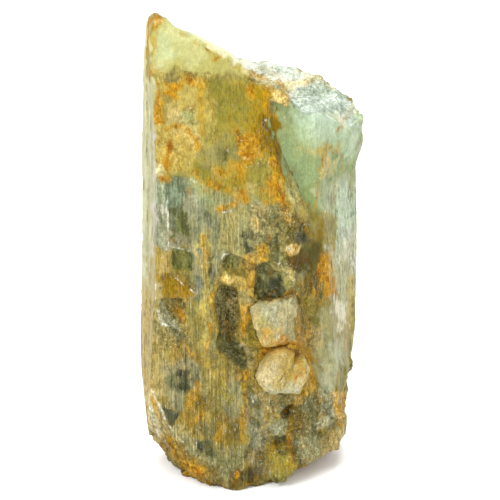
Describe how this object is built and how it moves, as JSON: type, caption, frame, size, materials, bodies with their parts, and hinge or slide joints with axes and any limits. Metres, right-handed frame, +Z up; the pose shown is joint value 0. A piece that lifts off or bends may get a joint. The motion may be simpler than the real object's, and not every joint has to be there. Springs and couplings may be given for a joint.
{
  "type": "beryl crystal",
  "caption": "Broken, striated beryl crystal, stained with iron oxide, with cream feldspar grown into its front face; stands on its broken base.",
  "frame": {"origin": "on the ground under the middle of the crystal's bounding box", "axes": "+Z up along the prism, -Y towards the side that the picture shows, +X to the right in it"},
  "size_m": [0.0447, 0.0387, 0.0968],
  "materials": {
    "beryl": "striated, cloudy pale blue-green to olive crystal with clear windows, orange-brown iron stains and bright broken faces",
    "feldspar": "satin cream feldspar, stained orange in its cracks"
  },
  "bodies": {
    "root": {"beryl_crystal": "beryl", "feldspar_crystal": "feldspar", "feldspar_block": "feldspar"}
  },
  "joints": []
}
